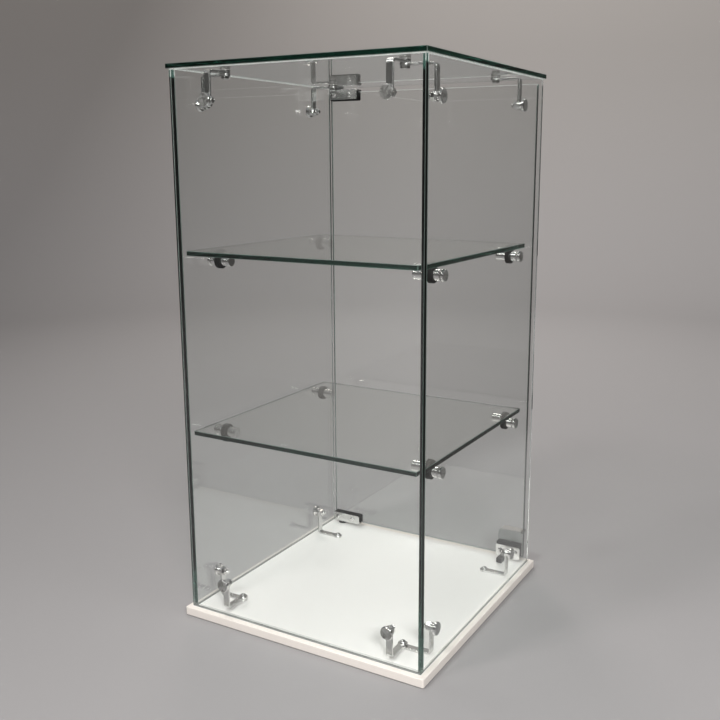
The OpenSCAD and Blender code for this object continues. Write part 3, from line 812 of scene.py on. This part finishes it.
def domed_screw(name, shaft, deep, head, edge, rim, tall, slot, steps, turns):
    """A slotted screw with a domed head on z = 0. Its slot is (width, depth)."""
    dome = [(head * math.cos(a), rim + (tall - rim) * math.sin(a)) for a in quarter_turn(steps)]
    section = [(0.0, -deep), (shaft, -deep), (shaft, 0.0), (head - edge, 0.0), (head, edge)]
    screw = turned(name, section + dome + [(0.0, tall)], turns)
    return slotted(screw, 3 * head, slot[0], tall - slot[1], tall + MM)


def threaded_stud(name, head, start, end, turns):
    """A turned head with a threaded shank on it from start to end."""
    section = head + threaded(SHANK, start, end, STUD_TIP, PITCH)
    return turned(name, section, turns, cut_thread(start, end - STUD_TIP, SHANK, PITCH, PITCH / 2))


@made_once
def repeat_on_seats():
    """Geometry tree that stands a pattern on every seat, turned as the seat says, and rolls it."""
    tree = bpy.data.node_groups.new("repeat_on_seats", "GeometryNodeTree")
    tree.is_modifier = True
    for label, kind in (("Seats", "Geometry"), ("Pattern", "Object"), ("Size", "Float"),
                        ("Roll", "Float"), ("Seed", "Int"), ("Finish", "Material")):
        tree.interface.new_socket(label, in_out="INPUT", socket_type="NodeSocket" + kind)
    tree.interface.new_socket("Pieces", in_out="OUTPUT", socket_type="NodeSocketGeometry")
    given = put(tree, "NodeGroupInput").outputs
    pattern = put(tree, "GeometryNodeObjectInfo", {"Object": given["Pattern"]})
    turn = put(tree, "GeometryNodeInputNamedAttribute", {"Name": "turn"},
               data_type="FLOAT_VECTOR")
    stood = put(tree, "GeometryNodeInstanceOnPoints", {
        "Points": given["Seats"], "Instance": pattern.outputs["Geometry"],
        "Rotation": turn.outputs["Attribute"], "Scale": given["Size"]})
    chance = put(tree, "FunctionNodeRandomValue", {
        2: 0.0, 3: given["Roll"], "Seed": given["Seed"]}, data_type="FLOAT")
    roll = put(tree, "ShaderNodeCombineXYZ", {"Z": chance.outputs[1]})
    rolled = put(tree, "GeometryNodeRotateInstances", {
        "Instances": stood.outputs[0], "Rotation": roll.outputs[0], "Local Space": True})
    solid = put(tree, "GeometryNodeRealizeInstances", {"Geometry": rolled.outputs[0]})
    dressed = put(tree, "GeometryNodeSetMaterial", {
        "Geometry": solid.outputs[0], "Material": given["Finish"]})
    put(tree, "NodeGroupOutput", {"Pieces": dressed.outputs[0]})
    return tree


def stand(name, pattern, seats, material, roll=0.0, seed=1):
    """One mesh with the pattern on every seat, a seat being its place and its turn."""
    points = bpy.data.meshes.new(name + "_seats")
    points.from_pydata([place for place, _ in seats], [], [])
    turn = points.attributes.new("turn", "FLOAT_VECTOR", "POINT")
    turn.data.foreach_set("vector", [angle for _, angles in seats for angle in angles])
    master = thing_of(name + "_pattern", pattern)
    carrier = thing_of(name + "_seats", points)
    repeat = carrier.modifiers.new("repeat", "NODES")
    repeat.node_group = repeat_on_seats()
    values = {"Pattern": master, "Size": 1.0, "Roll": roll, "Seed": seed,
              "Finish": finish(material)}
    for socket in repeat.node_group.interface.items_tree:
        if socket.in_out == "INPUT" and socket.name in values:
            repeat[socket.identifier] = values[socket.name]
    mesh = baked(carrier, name)
    bpy.data.objects.remove(master)
    return thing_of(name, mesh)


def joined(name, things):
    """One object of all the things' meshes."""
    bm = bmesh.new()
    for thing in things:
        bm.from_mesh(thing.data)
    mesh = things[0].data
    bm.to_mesh(mesh)
    bm.free()
    for thing in things[1:]:
        bpy.data.objects.remove(thing)
    things[0].name = mesh.name = name
    return things[0]


def fit(piece, body, nodes):
    """Makes the piece stand for its CAD nodes on their body."""
    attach(piece, body)
    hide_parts(*nodes)


def clean_copy(node):
    """A bmesh of a CAD node, its loose triangles joined into whole faces."""
    bm = bmesh.new()
    bm.from_mesh(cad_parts[node].data)
    bmesh.ops.remove_doubles(bm, verts=bm.verts, dist=1e-6)
    bmesh.ops.dissolve_limit(bm, angle_limit=math.radians(1.0), verts=bm.verts, edges=bm.edges)
    return bm


def bevel_edges(bm, edges, width, segments):
    """Rounds some edges of a bmesh."""
    bmesh.ops.bevel(bm, geom=edges, offset=width, segments=segments, profile=0.5,
                    affect="EDGES", clamp_overlap=True)


def stand_for(name, bm, node, body, material, radius):
    """Makes the shape stand for its CAD node, with its sharp edges rounded: its mesh."""
    mesh = rounded(mesh_of(name, bm), radius)
    mesh.materials.clear()
    mesh.materials.append(finish(material))
    fit(thing_of(name, mesh), body, [node])
    return mesh


def softened(name, node, body, material, radius, corner=0.0):
    """A copy of a CAD node with its edges and the corners of its plates rounded."""
    bm = clean_copy(node)
    if corner:
        bottom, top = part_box(node)
        corners = []
        for edge in bm.edges:
            ends = [vert.co for vert in edge.verts]
            along = ends[0] - ends[1]
            if (all(min(abs(end.x - bottom.x), abs(end.x - top.x)) < SAME
                    and min(abs(end.z - bottom.z), abs(end.z - top.z)) < SAME for end in ends)
                    and abs(along.y) > 0.1 * MM and max(abs(along.x), abs(along.z)) < SAME):
                corners.append(edge)
        bevel_edges(bm, corners, corner, 5)
    return stand_for(name, bm, node, body, material, radius)


# ---------------------------------------------------------------- places


def low(node):
    """A node's lowest corner."""
    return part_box(node)[0]


def high(node):
    """A node's highest corner."""
    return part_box(node)[1]


# Turns that point a piece into the case from a pane, and an arm's leg along the board
INWARD = {"left": (0.0, math.pi / 2, 0.0), "right": (0.0, -math.pi / 2, 0.0),
          "front": (-math.pi / 2, 0.0, 0.0)}
LEG_TURN = {"left": math.pi, "right": 0.0, "front": -math.pi / 2}

# Sizes that pieces of hardware share
FACE_BEVEL = 0.8 * MM
BAR_WIDE, BAR_THICK, BAR_BEND = 7.5 * MM, 2.4 * MM, 2.0 * MM
EYE, EYE_BORE = 10.6 * MM, 5.4 * MM
SHANK, STUD_TIP, PITCH = 2.5 * MM, 0.5 * MM, 0.8 * MM
NUT_FLATS, NUT_BEVEL, NUT_EASE, NUT_SIDES = 8.0 * MM, 0.25 * MM, 0.12 * MM, 72
EASE = 0.25 * MM
PANE_FACE = {"left": high("left_panel").x, "right": low("right_panel").x,
             "front": high("front_panel").y}


def arm_side(node):
    """The pane that an arm reaches to."""
    return node.split("_")[2]


def arm_screw(node):
    """Place of the axis of an arm's screw, at the middle of its leg's thickness."""
    bottom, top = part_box(node)
    side = arm_side(node)
    x = {"left": top.x - EYE / 2, "right": bottom.x + EYE / 2,
         "front": (bottom.x + top.x) / 2}[side]
    y = top.y - EYE / 2 if side == "front" else (bottom.y + top.y) / 2
    z = bottom.z + BAR_THICK / 2 if node.startswith("low") else top.z - BAR_THICK / 2
    return Vector((x, y, z))


def pane_eye(node):
    """Place on the pane's face of the stud that holds an arm's upper eye."""
    bottom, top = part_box(node)
    screw = arm_screw(node)
    z = top.z - EYE / 2 if node.startswith("low") else bottom.z + EYE / 2
    if arm_side(node) == "front":
        return Vector((screw.x, PANE_FACE["front"], z))
    return Vector((PANE_FACE[arm_side(node)], screw.y, z))


# ---------------------------------------------------------------- operators


class CASE_OT_glass(bpy.types.Operator):
    """Give the panes and shelves their float glass"""

    bl_idname = "case.glass"
    bl_label = "Dress the glass"

    def execute(self, context):
        dress(["left_panel", "right_panel"], "float_glass_x")
        dress(["front_panel", "door_panel"], "float_glass_y")
        dress(["top_panel", "upper_shelf", "lower_shelf"], "float_glass_z")
        return {"FINISHED"}


class CASE_OT_board(bpy.types.Operator):
    """Make the base board with its softened edges and white laminate"""

    bl_idname = "case.board"
    bl_label = "Make the base board"

    def execute(self, context):
        bm = clean_copy("base_board")
        reach = high("base_board")
        rim = [edge for edge in bm.edges
               if all(vert.co.z < SAME and max(abs(vert.co.x) / reach.x,
                                               abs(vert.co.y) / reach.y) > 0.97
                      for vert in edge.verts)]
        bevel_edges(bm, rim, 1.3 * MM, 4)
        stand_for("base_slab", bm, "base_board", "case", "white_laminate",
                  0.1 * MM)
        return {"FINISHED"}


class CASE_OT_arms(bpy.types.Operator):
    """Make the bent plated arms of the corners"""

    bl_idname = "case.arms"
    bl_label = "Make the bent arms"

    def execute(self, context):
        bottom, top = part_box("low_arm_right_back")
        leg = top.x - bottom.x - EYE / 2 - BAR_THICK / 2
        rise = top.z - bottom.z - EYE / 2 - BAR_THICK / 2
        pattern = rounded(bent_bar("bent_arm", leg, rise, BAR_WIDE, BAR_THICK, EYE, EYE_BORE,
                                   BAR_BEND), context.scene.case_metal.edge)
        seats = [(arm_screw(node), (0.0 if node.startswith("low") else math.pi, 0.0,
                                    LEG_TURN[arm_side(node)])) for node in ARMS]
        fit(stand("bent_arms", pattern, seats, "satin_plate"), "case", ARMS)
        return {"FINISHED"}


class CASE_OT_studs(bpy.types.Operator):
    """Make the bonded studs with their nuts, and the screws in the board"""

    bl_idname = "case.studs"
    bl_label = "Make the studs, nuts and screws"

    def execute(self, context):
        turns = context.scene.case_metal.segments
        disc_r, disc_t, disc_bevel = 7.25 * MM, 4.0 * MM, 1.0 * MM
        neck_r, seat, nut_t, out = 4.5 * MM, 6.6 * MM, 4.0 * MM, 3.5 * MM
        start = seat + BAR_THICK
        head = eased([(0.0, GLUE), (disc_r - FACE_BEVEL, GLUE), (disc_r, GLUE + FACE_BEVEL),
                      (disc_r, disc_t - disc_bevel), (disc_r - disc_bevel, disc_t),
                      (neck_r, disc_t), (neck_r, seat), (SHANK, seat)], EASE)
        stud = threaded_stud("pane_stud", head, start, start + nut_t + out, turns)
        holds = [(pane_eye(node), INWARD[arm_side(node)]) for node in ARMS]
        fit(stand("pane_studs", stud, holds, "polished_chrome"), "case",
            ["front_panel_studs", "left_panel_studs", "right_panel_studs"])
        nut = hexagon_nut("nut", NUT_FLATS, nut_t, SHANK, NUT_BEVEL, NUT_SIDES)
        nuts = [(place + Euler(turn).to_matrix() @ Vector((0, 0, start)), turn)
                for place, turn in holds]
        fit(stand("pane_nuts", rounded(nut, NUT_EASE), nuts, "polished_chrome", roll=1.0, seed=4),
            "case", ["front_panel_nuts", "left_panel_nuts", "right_panel_nuts"])

        flange_r, flange_t, thin = 5.5 * MM, 1.6 * MM, 2.7 * MM
        down = (math.pi, 0.0, 0.0)
        studs, thins, screws = [], [], []
        base = high("base_board").z
        for node in ARMS:
            if arm_side(node) == "front":
                continue
            place = arm_screw(node)
            stack = BAR_THICK * (2 if node.endswith("front") else 1)
            if node.startswith("low"):
                screws.append((Vector((place.x, place.y, base + stack)), (0.0, 0.0, 0.0)))
            else:
                studs.append((Vector((place.x, place.y, ROOF)), stack))
                thins.append((Vector((place.x, place.y, ROOF - flange_t - stack)), down))
        flange = eased([(0.0, GLUE), (flange_r, GLUE), (flange_r, flange_t), (SHANK, flange_t)],
                       EASE)
        meshes = []
        for stack in sorted({s for _, s in studs}):
            mesh = threaded_stud("top_stud", flange, flange_t,
                                 flange_t + stack + thin + STUD_TIP, turns)
            meshes.append(stand("top_studs", mesh, [(p, down) for p, s in studs if s == stack],
                                "polished_chrome"))
        fit(joined("top_studs", meshes), "case", ["top_panel_studs"])
        nut = hexagon_nut("thin_nut", NUT_FLATS, thin, SHANK, NUT_BEVEL, NUT_SIDES)
        fit(stand("top_nuts", rounded(nut, NUT_EASE), thins, "polished_chrome", roll=1.0, seed=9),
            "case", ["top_panel_nuts"])

        screw = domed_screw("board_screw", shaft=2.0 * MM, deep=8.0 * MM, head=3.4 * MM,
                            edge=0.2 * MM, rim=0.8 * MM, tall=3.2 * MM, slot=(1.2 * MM, 1.0 * MM),
                            steps=10, turns=turns)
        fit(stand("board_screws", screw, screws, "bright_steel", roll=3.0, seed=3), "case",
            ["base_screws"])
        return {"FINISHED"}


class CASE_OT_pegs(bpy.types.Operator):
    """Make the shelf pegs with their bonded pads and rubber rings"""

    bl_idname = "case.pegs"
    bl_label = "Make the shelf pegs"

    def execute(self, context):
        turns = context.scene.case_metal.segments
        pad_r, pad_t, pad_bevel = 6.3 * MM, 4.0 * MM, 0.8 * MM
        neck_r, start = 4.0 * MM, 5.2 * MM
        peg_r, peg_end, hole, ring_r = 5.7 * MM, 30.0 * MM, 5.1 * MM, 8.5 * MM
        ring_from, ring_to = 12.0 * MM, 18.0 * MM
        seats = []
        for shelf in ("upper", "lower"):
            bottom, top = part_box(shelf + "_peg_rings")
            for side in ("left", "right"):
                for y in (bottom.y + ring_r, top.y - ring_r):
                    place = Vector((PANE_FACE[side], y, (bottom.z + top.z) / 2))
                    seats.append((place, INWARD[side]))
        pad = turned("peg_pad", eased(
            [(0.0, GLUE), (pad_r - FACE_BEVEL, GLUE), (pad_r, GLUE + FACE_BEVEL),
             (pad_r, pad_t - pad_bevel), (pad_r - pad_bevel, pad_t), (0.0, pad_t)], EASE), turns)
        fit(stand("peg_pads", pad, seats, "polished_chrome"), "case",
            ["upper_peg_pads", "lower_peg_pads"])
        barrel = eased([(neck_r, pad_t), (neck_r, start), (peg_r, start), (peg_r, ring_from),
                        (hole, ring_from), (hole, ring_to), (peg_r, ring_to),
                        (peg_r, peg_end), (0.0, peg_end)], 0.5 * MM)
        peg = turned("shelf_peg", [(0.0, pad_t)] + barrel, turns)
        fit(stand("shelf_pegs", peg, seats, "polished_chrome"), "case",
            ["upper_pegs", "lower_pegs"])
        ring = turned("peg_ring", eased(
            [(hole, ring_from), (ring_r, ring_from), (ring_r, ring_to), (hole, ring_to)],
            0.9 * MM, loop=True), turns, loop=True)
        fit(stand("peg_rings", ring, seats, "black_rubber"), "case",
            ["upper_peg_rings", "lower_peg_rings"])
        return {"FINISHED"}


class CASE_OT_clamps(bpy.types.Operator):
    """Make the door's pivot clamps and its lock"""

    bl_idname = "case.clamps"
    bl_label = "Make the clamps and the lock"

    def execute(self, context):
        metal = context.scene.case_metal
        for end in ("low", "high"):
            softened(end + "_clamp", end + "_hinge_clamp", "door",
                     "satin_plate", 0.5 * MM, 2.0 * MM)
            softened(end + "_gasket", end + "_hinge_liner", "door",
                     "black_rubber", 0.25 * MM, 2.2 * MM)
            softened(end + "_pin", end + "_pivot_pin", "door", "bright_steel",
                     metal.edge)
            softened(end + "_bush", end + "_pivot_bush", "case", "black_nylon",
                     metal.edge)
        lock = softened("lock_case", "lock_body", "door", "polished_chrome",
                        0.6 * MM, 1.5 * MM)
        lock.materials.append(finish("cast_zinc"))
        for face in lock.polygons:
            if face.normal.y < -SQUARE_ON and face.center.y > high("door_panel").y:
                face.material_index = 1
        softened("lock_gasket", "lock_liner", "door", "black_rubber", 0.25 * MM,
                 1.5 * MM)
        softened("lock_rim", "lock_barrel", "door", "polished_chrome",
                 metal.edge)
        softened("key_plug", "lock_plug", "lock_plug", "bright_steel", 0.2 * MM)
        softened("drop_bolt", "lock_bolt", "lock_bolt", "bright_steel",
                 metal.edge)
        softened("stop_block", "door_stop", "case", "black_nylon", 0.6 * MM)

        head, tall = 3.0 * MM, 2.2 * MM
        screw = domed_screw("clamp_screw", shaft=1.75 * MM, deep=2.6 * MM, head=head,
                            edge=0.1 * MM, rim=0.7 * MM, tall=tall, slot=(1.0 * MM, 0.7 * MM),
                            steps=8, turns=metal.segments)
        nodes = ["low_hinge_screws", "high_hinge_screws", "lock_screws"]
        seats = []
        for node in nodes:
            bottom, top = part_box(node)
            for x in (bottom.x + head, top.x - head):
                seats.append((Vector((x, bottom.y + tall, (bottom.z + top.z) / 2)),
                              (math.pi / 2, 0.0, 0.0)))
        fit(stand("clamp_screws", screw, seats, "polished_chrome", roll=3.0, seed=6), "door",
            nodes)
        return {"FINISHED"}


def lamp(name, size, power, place, aim, colour):
    """A square soft lamp at a place, turned to a point."""
    data = bpy.data.lights.new(name, "AREA")
    data.shape, data.size, data.energy, data.color = "SQUARE", size, power, colour
    thing = thing_of(name, data)
    thing.location = place
    way = Vector(aim) - Vector(place)
    thing.rotation_euler = way.to_track_quat("-Z", "Y").to_euler()


class CASE_OT_stage(bpy.types.Operator):
    """Set the paper sweep, the lamps and the camera"""

    bl_idname = "case.stage"
    bl_label = "Set the studio"

    def execute(self, context):
        scene = context.scene
        settings = scene.case_stage
        profile = [(SWEEP_FLOOR * 0.5, 0.0), (SWEEP_FLOOR, 0.0)]
        profile += [(SWEEP_FLOOR + SWEEP_BEND * math.sin(a), SWEEP_BEND * (1 - math.cos(a)))
                    for a in quarter_turn(12, first=1)]
        profile += [(SWEEP_FLOOR + SWEEP_BEND, SWEEP_WALL)]
        bm = bmesh.new()
        rings = []
        for r, z in profile:
            turns = [2 * math.pi * i / SWEEP_SIDES for i in range(SWEEP_SIDES)]
            rings.append([bm.verts.new((r * math.cos(a), r * math.sin(a), z)) for a in turns])
        bm.faces.new(rings[0])
        for inner, outer in zip(rings, rings[1:]):
            for i in range(SWEEP_SIDES):
                j = (i + 1) % SWEEP_SIDES
                bm.faces.new((inner[i], outer[i], outer[j], inner[j]))
        mesh = mesh_of("paper_sweep", bm)
        mesh.shade_smooth()
        sweep = thing_of("paper_sweep", mesh)
        mesh.materials.append(finish("sweep_paper"))

        world = bpy.data.worlds.new("studio")
        world.use_nodes = True
        feed(world.node_tree.nodes["Background"], {
            "Color": (0.98, 0.99, 1.0), "Strength": settings.ambient})
        scene.world = world

        for name, size, share, place, aim, colour in LAMPS:
            lamp(name, size, share * settings.key, place, aim, colour)

        camera = bpy.data.cameras.new("photo_camera")
        camera.lens = settings.lens
        camera.sensor_width = 36.0
        camera.shift_x, camera.shift_y = CAMERA_SHIFT
        thing = thing_of("photo_camera", camera)
        thing.location = CAMERA_PLACE
        thing.rotation_euler = [math.radians(angle) for angle in CAMERA_TURN]
        scene.camera = thing

        scene.view_settings.view_transform = "Standard"
        scene.cycles.max_bounces = 40
        scene.cycles.transmission_bounces = 36
        scene.cycles.glossy_bounces = 12
        scene.cycles.transparent_max_bounces = 40
        return {"FINISHED"}


OPERATORS = [CASE_OT_glass, CASE_OT_board, CASE_OT_arms, CASE_OT_studs, CASE_OT_pegs,
             CASE_OT_clamps, CASE_OT_stage]

SETTINGS = {"case_glass": CaseGlassSettings, "case_metal": CaseMetalSettings,
            "case_board": CaseBoardSettings, "case_stage": CaseStageSettings}


class CASE_PT_sidebar(bpy.types.Panel):
    """Lists the case's pieces and settings"""

    bl_idname = "CASE_PT_sidebar"
    bl_label = "Display Case"
    bl_space_type = "VIEW_3D"
    bl_region_type = "UI"
    bl_category = "Display Case"

    def draw(self, context):
        column = self.layout.column()
        for operator in OPERATORS:
            column.operator(operator.bl_idname)
        for group in SETTINGS:
            box = self.layout.box()
            settings = getattr(context.scene, group)
            for name in settings.__annotations__:
                box.prop(settings, name)


def register():
    for group in SETTINGS.values():
        bpy.utils.register_class(group)
    for name, group in SETTINGS.items():
        setattr(bpy.types.Scene, name, PointerProperty(type=group))
    for kind in OPERATORS + [CASE_PT_sidebar]:
        bpy.utils.register_class(kind)


def unregister():
    for kind in reversed(OPERATORS + [CASE_PT_sidebar]):
        bpy.utils.unregister_class(kind)
    for name in SETTINGS:
        delattr(bpy.types.Scene, name)
    for group in reversed(list(SETTINGS.values())):
        bpy.utils.unregister_class(group)


def main():
    register()
    for operator in OPERATORS:
        space, verb = operator.bl_idname.split(".")
        getattr(getattr(bpy.ops, space), verb)()


if __name__ == "__main__":
    main()
